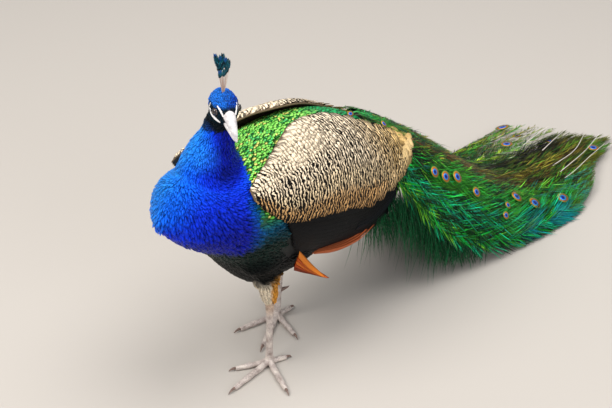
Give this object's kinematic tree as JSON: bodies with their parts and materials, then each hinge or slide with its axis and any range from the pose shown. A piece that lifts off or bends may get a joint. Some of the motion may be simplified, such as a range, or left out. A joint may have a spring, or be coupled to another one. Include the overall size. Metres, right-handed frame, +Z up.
{
  "type": "peacock",
  "caption": "Still life-size model of a standing male Indian peafowl, head turned to its left and folded train sloping down to rest on the floor.",
  "frame": {"origin": "on the floor under the middle of the bird's bounding box", "axes": "+Z up, -Y the way the bird's body faces, +X the bird's left side"},
  "size_m": [0.3402, 1.2306, 0.5985],
  "materials": {
    "dark_plumage": "soft blackish green feathers",
    "bill_horn": "smooth pale horn",
    "blue_plumage": "glossy velvet-like feathers",
    "claw_horn": "dull brownish horn",
    "crest_feathers": "bare shafts with blue-green tips",
    "eye": "wet, brown iris and black pupil",
    "leg_scales": "pale grey horny scales",
    "scaled_plumage": "small metallic green and gold feathers with dark rims",
    "tail_feathers": "matte brown feathers",
    "thigh_plumage": "short buff feathers",
    "train_feathers": "loose metallic green and bronze feathers with eye spots",
    "chestnut_flight_feathers": "satin chestnut feathers",
    "black_flight_feathers": "glossy black feathers with a blue sheen",
    "barred_plumage": "matte cream feathers with wavy black bars"
  },
  "bodies": {
    "root": {"belly": "dark_plumage", "bill_lower": "bill_horn", "bill_upper": "bill_horn", "breast": "blue_plumage", "claw_left_hind": "claw_horn", "claw_left_inner": "claw_horn", "claw_left_middle": "claw_horn", "claw_left_outer": "claw_horn", "claw_right_hind": "claw_horn", "claw_right_inner": "claw_horn", "claw_right_middle": "claw_horn", "claw_right_outer": "claw_horn", "crest": "crest_feathers", "eye_left": "eye", "eye_right": "eye", "foot_left": "leg_scales", "foot_right": "leg_scales", "head": "blue_plumage", "mantle": "scaled_plumage", "neck_lower": "blue_plumage", "neck_upper": "blue_plumage", "rump": "scaled_plumage", "shank_left": "leg_scales", "shank_right": "leg_scales", "spur_left": "claw_horn", "spur_right": "claw_horn", "tail": "tail_feathers", "thigh_left": "thigh_plumage", "thigh_right": "thigh_plumage", "train_end_1": "train_feathers", "train_end_2": "train_feathers", "train_end_3": "train_feathers", "train_end_4": "train_feathers", "train_end_5": "train_feathers", "train_end_6": "train_feathers", "train_end_7": "train_feathers", "train_fringe_left": "train_feathers", "train_fringe_right": "train_feathers", "train_ground_left": "train_feathers", "train_ground_middle": "train_feathers", "train_ground_right": "train_feathers", "train_lower_left": "train_feathers", "train_lower_middle": "train_feathers", "train_lower_right": "train_feathers", "train_upper_left": "train_feathers", "train_upper_middle": "train_feathers", "train_upper_right": "train_feathers", "wing_left_primaries": "chestnut_flight_feathers", "wing_left_secondaries": "black_flight_feathers", "wing_left_shield": "barred_plumage", "wing_left_tip": "chestnut_flight_feathers", "wing_right_primaries": "chestnut_flight_feathers", "wing_right_secondaries": "black_flight_feathers", "wing_right_shield": "barred_plumage", "wing_right_tip": "chestnut_flight_feathers"}
  },
  "joints": []
}
